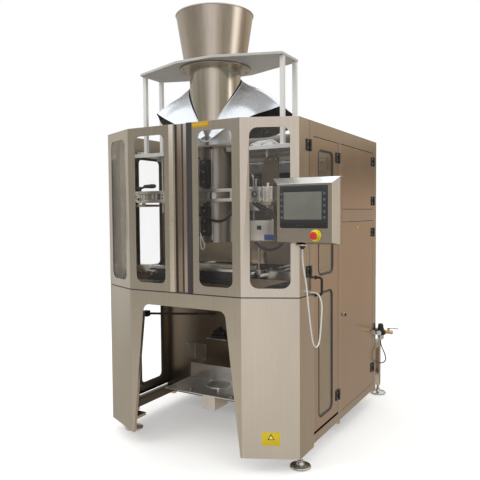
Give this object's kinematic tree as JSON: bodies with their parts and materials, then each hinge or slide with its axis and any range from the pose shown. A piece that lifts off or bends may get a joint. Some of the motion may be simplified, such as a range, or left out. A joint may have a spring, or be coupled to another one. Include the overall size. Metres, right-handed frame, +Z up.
{
  "type": "vertical form fill seal machine",
  "caption": "Vertical form fill sealer: stainless cabinet on feet, windowed front doors, product funnel over a forming tube and shoulder, swivel operator terminal, film rack behind.",
  "frame": {"origin": "on the floor, at the middle of the machine's footprint box, operator terminal and rear film rack included, cords left out", "axes": "+Z up, -Y towards the operator's front doors, +X to the operator's right, where the terminal is"},
  "size_m": [1.655, 1.9159, 2.66],
  "materials": {
    "stainless_door": "brushed, warm",
    "stainless_panel": "brushed",
    "stainless_side": "satin, reflective",
    "frame_steel": "satin",
    "white_paint": "gloss powder coat",
    "polished_tube": "polished",
    "funnel_steel": "brushed",
    "shoulder_sheet": "polished sheet",
    "clear_panel": "clear",
    "black_fitting": "matt",
    "black_rubber": "matt",
    "terminal_case": "brushed",
    "terminal_bezel": "satin",
    "warning_yellow": "gloss",
    "warning_red": "gloss",
    "white_cable": "satin",
    "black_hose": "satin",
    "machine_aluminium": "machined",
    "jaw_block": "dark",
    "shaft_steel": "ground",
    "blade_steel": "ground",
    "roller_aluminium": "satin",
    "zinc_fastener": "zinc",
    "cabinet_parts": "matt"
  },
  "bodies": {
    "frame": {"frame_tubes": "frame_steel", "front_base_panel": "stainless_panel", "fixed_panels": "stainless_side", "side_windows_left": "clear_panel", "levelling_feet": "zinc_fastener", "platform_posts": "white_paint", "platform_plate": "white_paint", "platform_bolts": "zinc_fastener", "inner_deck": "white_paint", "tube_flange": "funnel_steel", "hopper_funnel": "funnel_steel", "forming_tube": "polished_tube", "forming_shoulder": "shoulder_sheet", "shoulder_base": "machine_aluminium", "hinge_fixed_leaves": "black_fitting", "belt_hangers": "machine_aluminium", "jaw_guides": "shaft_steel", "tube_guard": "clear_panel", "bag_lift_base": "machine_aluminium", "film_rack": "frame_steel", "air_unit": "machine_aluminium", "air_hose": "black_hose", "control_panel": "cabinet_parts"},
    "door_left": {"front_door_left": "stainless_door", "door_windows_left": "clear_panel", "hinge_leaves_front_left": "black_fitting"},
    "door_right": {"front_door_right": "stainless_door", "door_windows_right": "clear_panel", "door_seal_strip": "black_rubber", "hinge_leaves_front_right": "black_fitting", "hmi_bracket": "frame_steel", "hmi_cable": "white_cable"},
    "terminal": {"hmi_box": "terminal_case", "hmi_screen": "terminal_bezel", "hmi_gland": "black_fitting", "estop_base": "warning_yellow"},
    "estop": {"estop_button": "warning_red"},
    "side_door": {"side_door_right": "stainless_side", "side_windows_right": "clear_panel", "side_handle_right": "black_fitting", "hinge_leaves_side_right": "black_fitting"},
    "rear_upper": {"rear_upper_door": "stainless_side", "hinge_leaves_rear_upper": "black_fitting"},
    "rear_lower": {"rear_lower_door": "stainless_side", "hinge_leaves_rear_lower": "black_fitting"},
    "lock": {"cabinet_lock": "zinc_fastener"},
    "sealer": {"sealer_arm": "machine_aluminium"},
    "seal_bar": {"seal_bar": "machine_aluminium"},
    "clamp": {"clamp_lever": "black_fitting"},
    "jaw_front": {"jaw_front": "jaw_block"},
    "jaw_rear": {"jaw_rear": "jaw_block"},
    "knife": {"cutting_knife": "blade_steel"},
    "belt_right": {"belt_unit_right": "machine_aluminium"},
    "belt_left": {"belt_unit_left": "machine_aluminium"},
    "bag_support": {"bag_support": "machine_aluminium"},
    "spindle": {"film_spindle": "roller_aluminium"},
    "dancer": {"dancer_arm": "roller_aluminium"},
    "idler": {"film_idler_roller": "roller_aluminium"},
    "valve": {"valve_lever": "black_fitting"},
    "regulator": {"regulator_knob": "black_fitting"}
  },
  "joints": [
    {"name": "front_door_left", "type": "hinge", "parent": "frame", "child": "door_left", "pos_m": [-0.81, -0.619, 1.46], "axis": [0, 0, -1], "range_deg": [0, 90]},
    {"name": "front_door_right", "type": "hinge", "parent": "frame", "child": "door_right", "pos_m": [0.565, -0.619, 1.46], "axis": [0, 0, 1], "range_deg": [0, 85]},
    {"name": "terminal_swivel", "type": "hinge", "parent": "door_right", "child": "terminal", "pos_m": [0.6225, -0.862, 1.268], "axis": [0, 0, 1], "range_deg": [0, 80]},
    {"name": "estop_press", "type": "slide", "parent": "terminal", "child": "estop", "axis": [0, 1, 0], "range_m": [0, 0.006], "stiffness_N_per_m": 400},
    {"name": "side_door", "type": "hinge", "parent": "frame", "child": "side_door", "pos_m": [0.565, -0.161, 1], "axis": [0, 0, 1], "range_deg": [0, 110]},
    {"name": "rear_upper_door", "type": "hinge", "parent": "frame", "child": "rear_upper", "pos_m": [0.565, 0.5685, 1.658], "axis": [0, 0, 1], "range_deg": [0, 110]},
    {"name": "rear_lower_door", "type": "hinge", "parent": "frame", "child": "rear_lower", "pos_m": [0.565, 0.5685, 0.78], "axis": [0, 0, 1], "range_deg": [0, 110]},
    {"name": "lock_turn", "type": "hinge", "parent": "rear_lower", "child": "lock", "pos_m": [0.5575, -0.055, 0.772], "axis": [1, 0, 0], "range_deg": [0, 90]},
    {"name": "sealer_swing", "type": "hinge", "parent": "frame", "child": "sealer", "pos_m": [0.3775, -0.77, 1.54], "axis": [0, 0, 1], "range_deg": [0, 3.5]},
    {"name": "seal_bar_press", "type": "slide", "parent": "sealer", "child": "seal_bar", "axis": [0, 1, 0], "range_m": [0, 0.019]},
    {"name": "clamp_turn", "type": "hinge", "parent": "sealer", "child": "clamp", "pos_m": [-0.5275, -0.77, 1.59], "axis": [0, 0, 1], "range_deg": [0, 90]},
    {"name": "jaw_front_slide", "type": "slide", "parent": "frame", "child": "jaw_front", "axis": [0, 1, 0], "range_m": [0, 0.0595]},
    {"name": "jaw_rear_slide", "type": "slide", "parent": "frame", "child": "jaw_rear", "axis": [0, -1, 0], "range_m": [0, 0.0595]},
    {"name": "knife_stroke", "type": "slide", "parent": "jaw_rear", "child": "knife", "axis": [0, -1, 0], "range_m": [0, 0.018]},
    {"name": "belt_right_slide", "type": "slide", "parent": "frame", "child": "belt_right", "axis": [1, 0, 0], "range_m": [0, 0.04]},
    {"name": "belt_left_slide", "type": "slide", "parent": "frame", "child": "belt_left", "axis": [-1, 0, 0], "range_m": [0, 0.04]},
    {"name": "bag_support_lift", "type": "slide", "parent": "frame", "child": "bag_support", "axis": [0, 0, 1], "range_m": [0, 0.08]},
    {"name": "film_spindle_turn", "type": "hinge", "parent": "frame", "child": "spindle", "pos_m": [-0.1225, 0.888, 0.54], "axis": [1, 0, 0], "continuous": true},
    {"name": "dancer_swing", "type": "hinge", "parent": "frame", "child": "dancer", "pos_m": [-0.1225, 0.683, 0.64], "axis": [1, 0, 0], "range_deg": [0, 40]},
    {"name": "idler_turn", "type": "hinge", "parent": "frame", "child": "idler", "pos_m": [-0.1225, 0.683, 0.85], "axis": [1, 0, 0], "continuous": true},
    {"name": "air_valve_turn", "type": "hinge", "parent": "frame", "child": "valve", "pos_m": [0.6375, 0.713, 0.54], "axis": [0, 0, 1], "range_deg": [0, 90]},
    {"name": "regulator_turn", "type": "hinge", "parent": "frame", "child": "regulator", "pos_m": [0.5775, 0.713, 0.56], "axis": [0, 0, 1], "range_deg": [-150, 150]}
  ],
  "couplings": [
    {"joint": "jaw_rear_slide", "follows": "jaw_front_slide", "ratio": 1},
    {"joint": "belt_left_slide", "follows": "belt_right_slide", "ratio": 1}
  ]
}
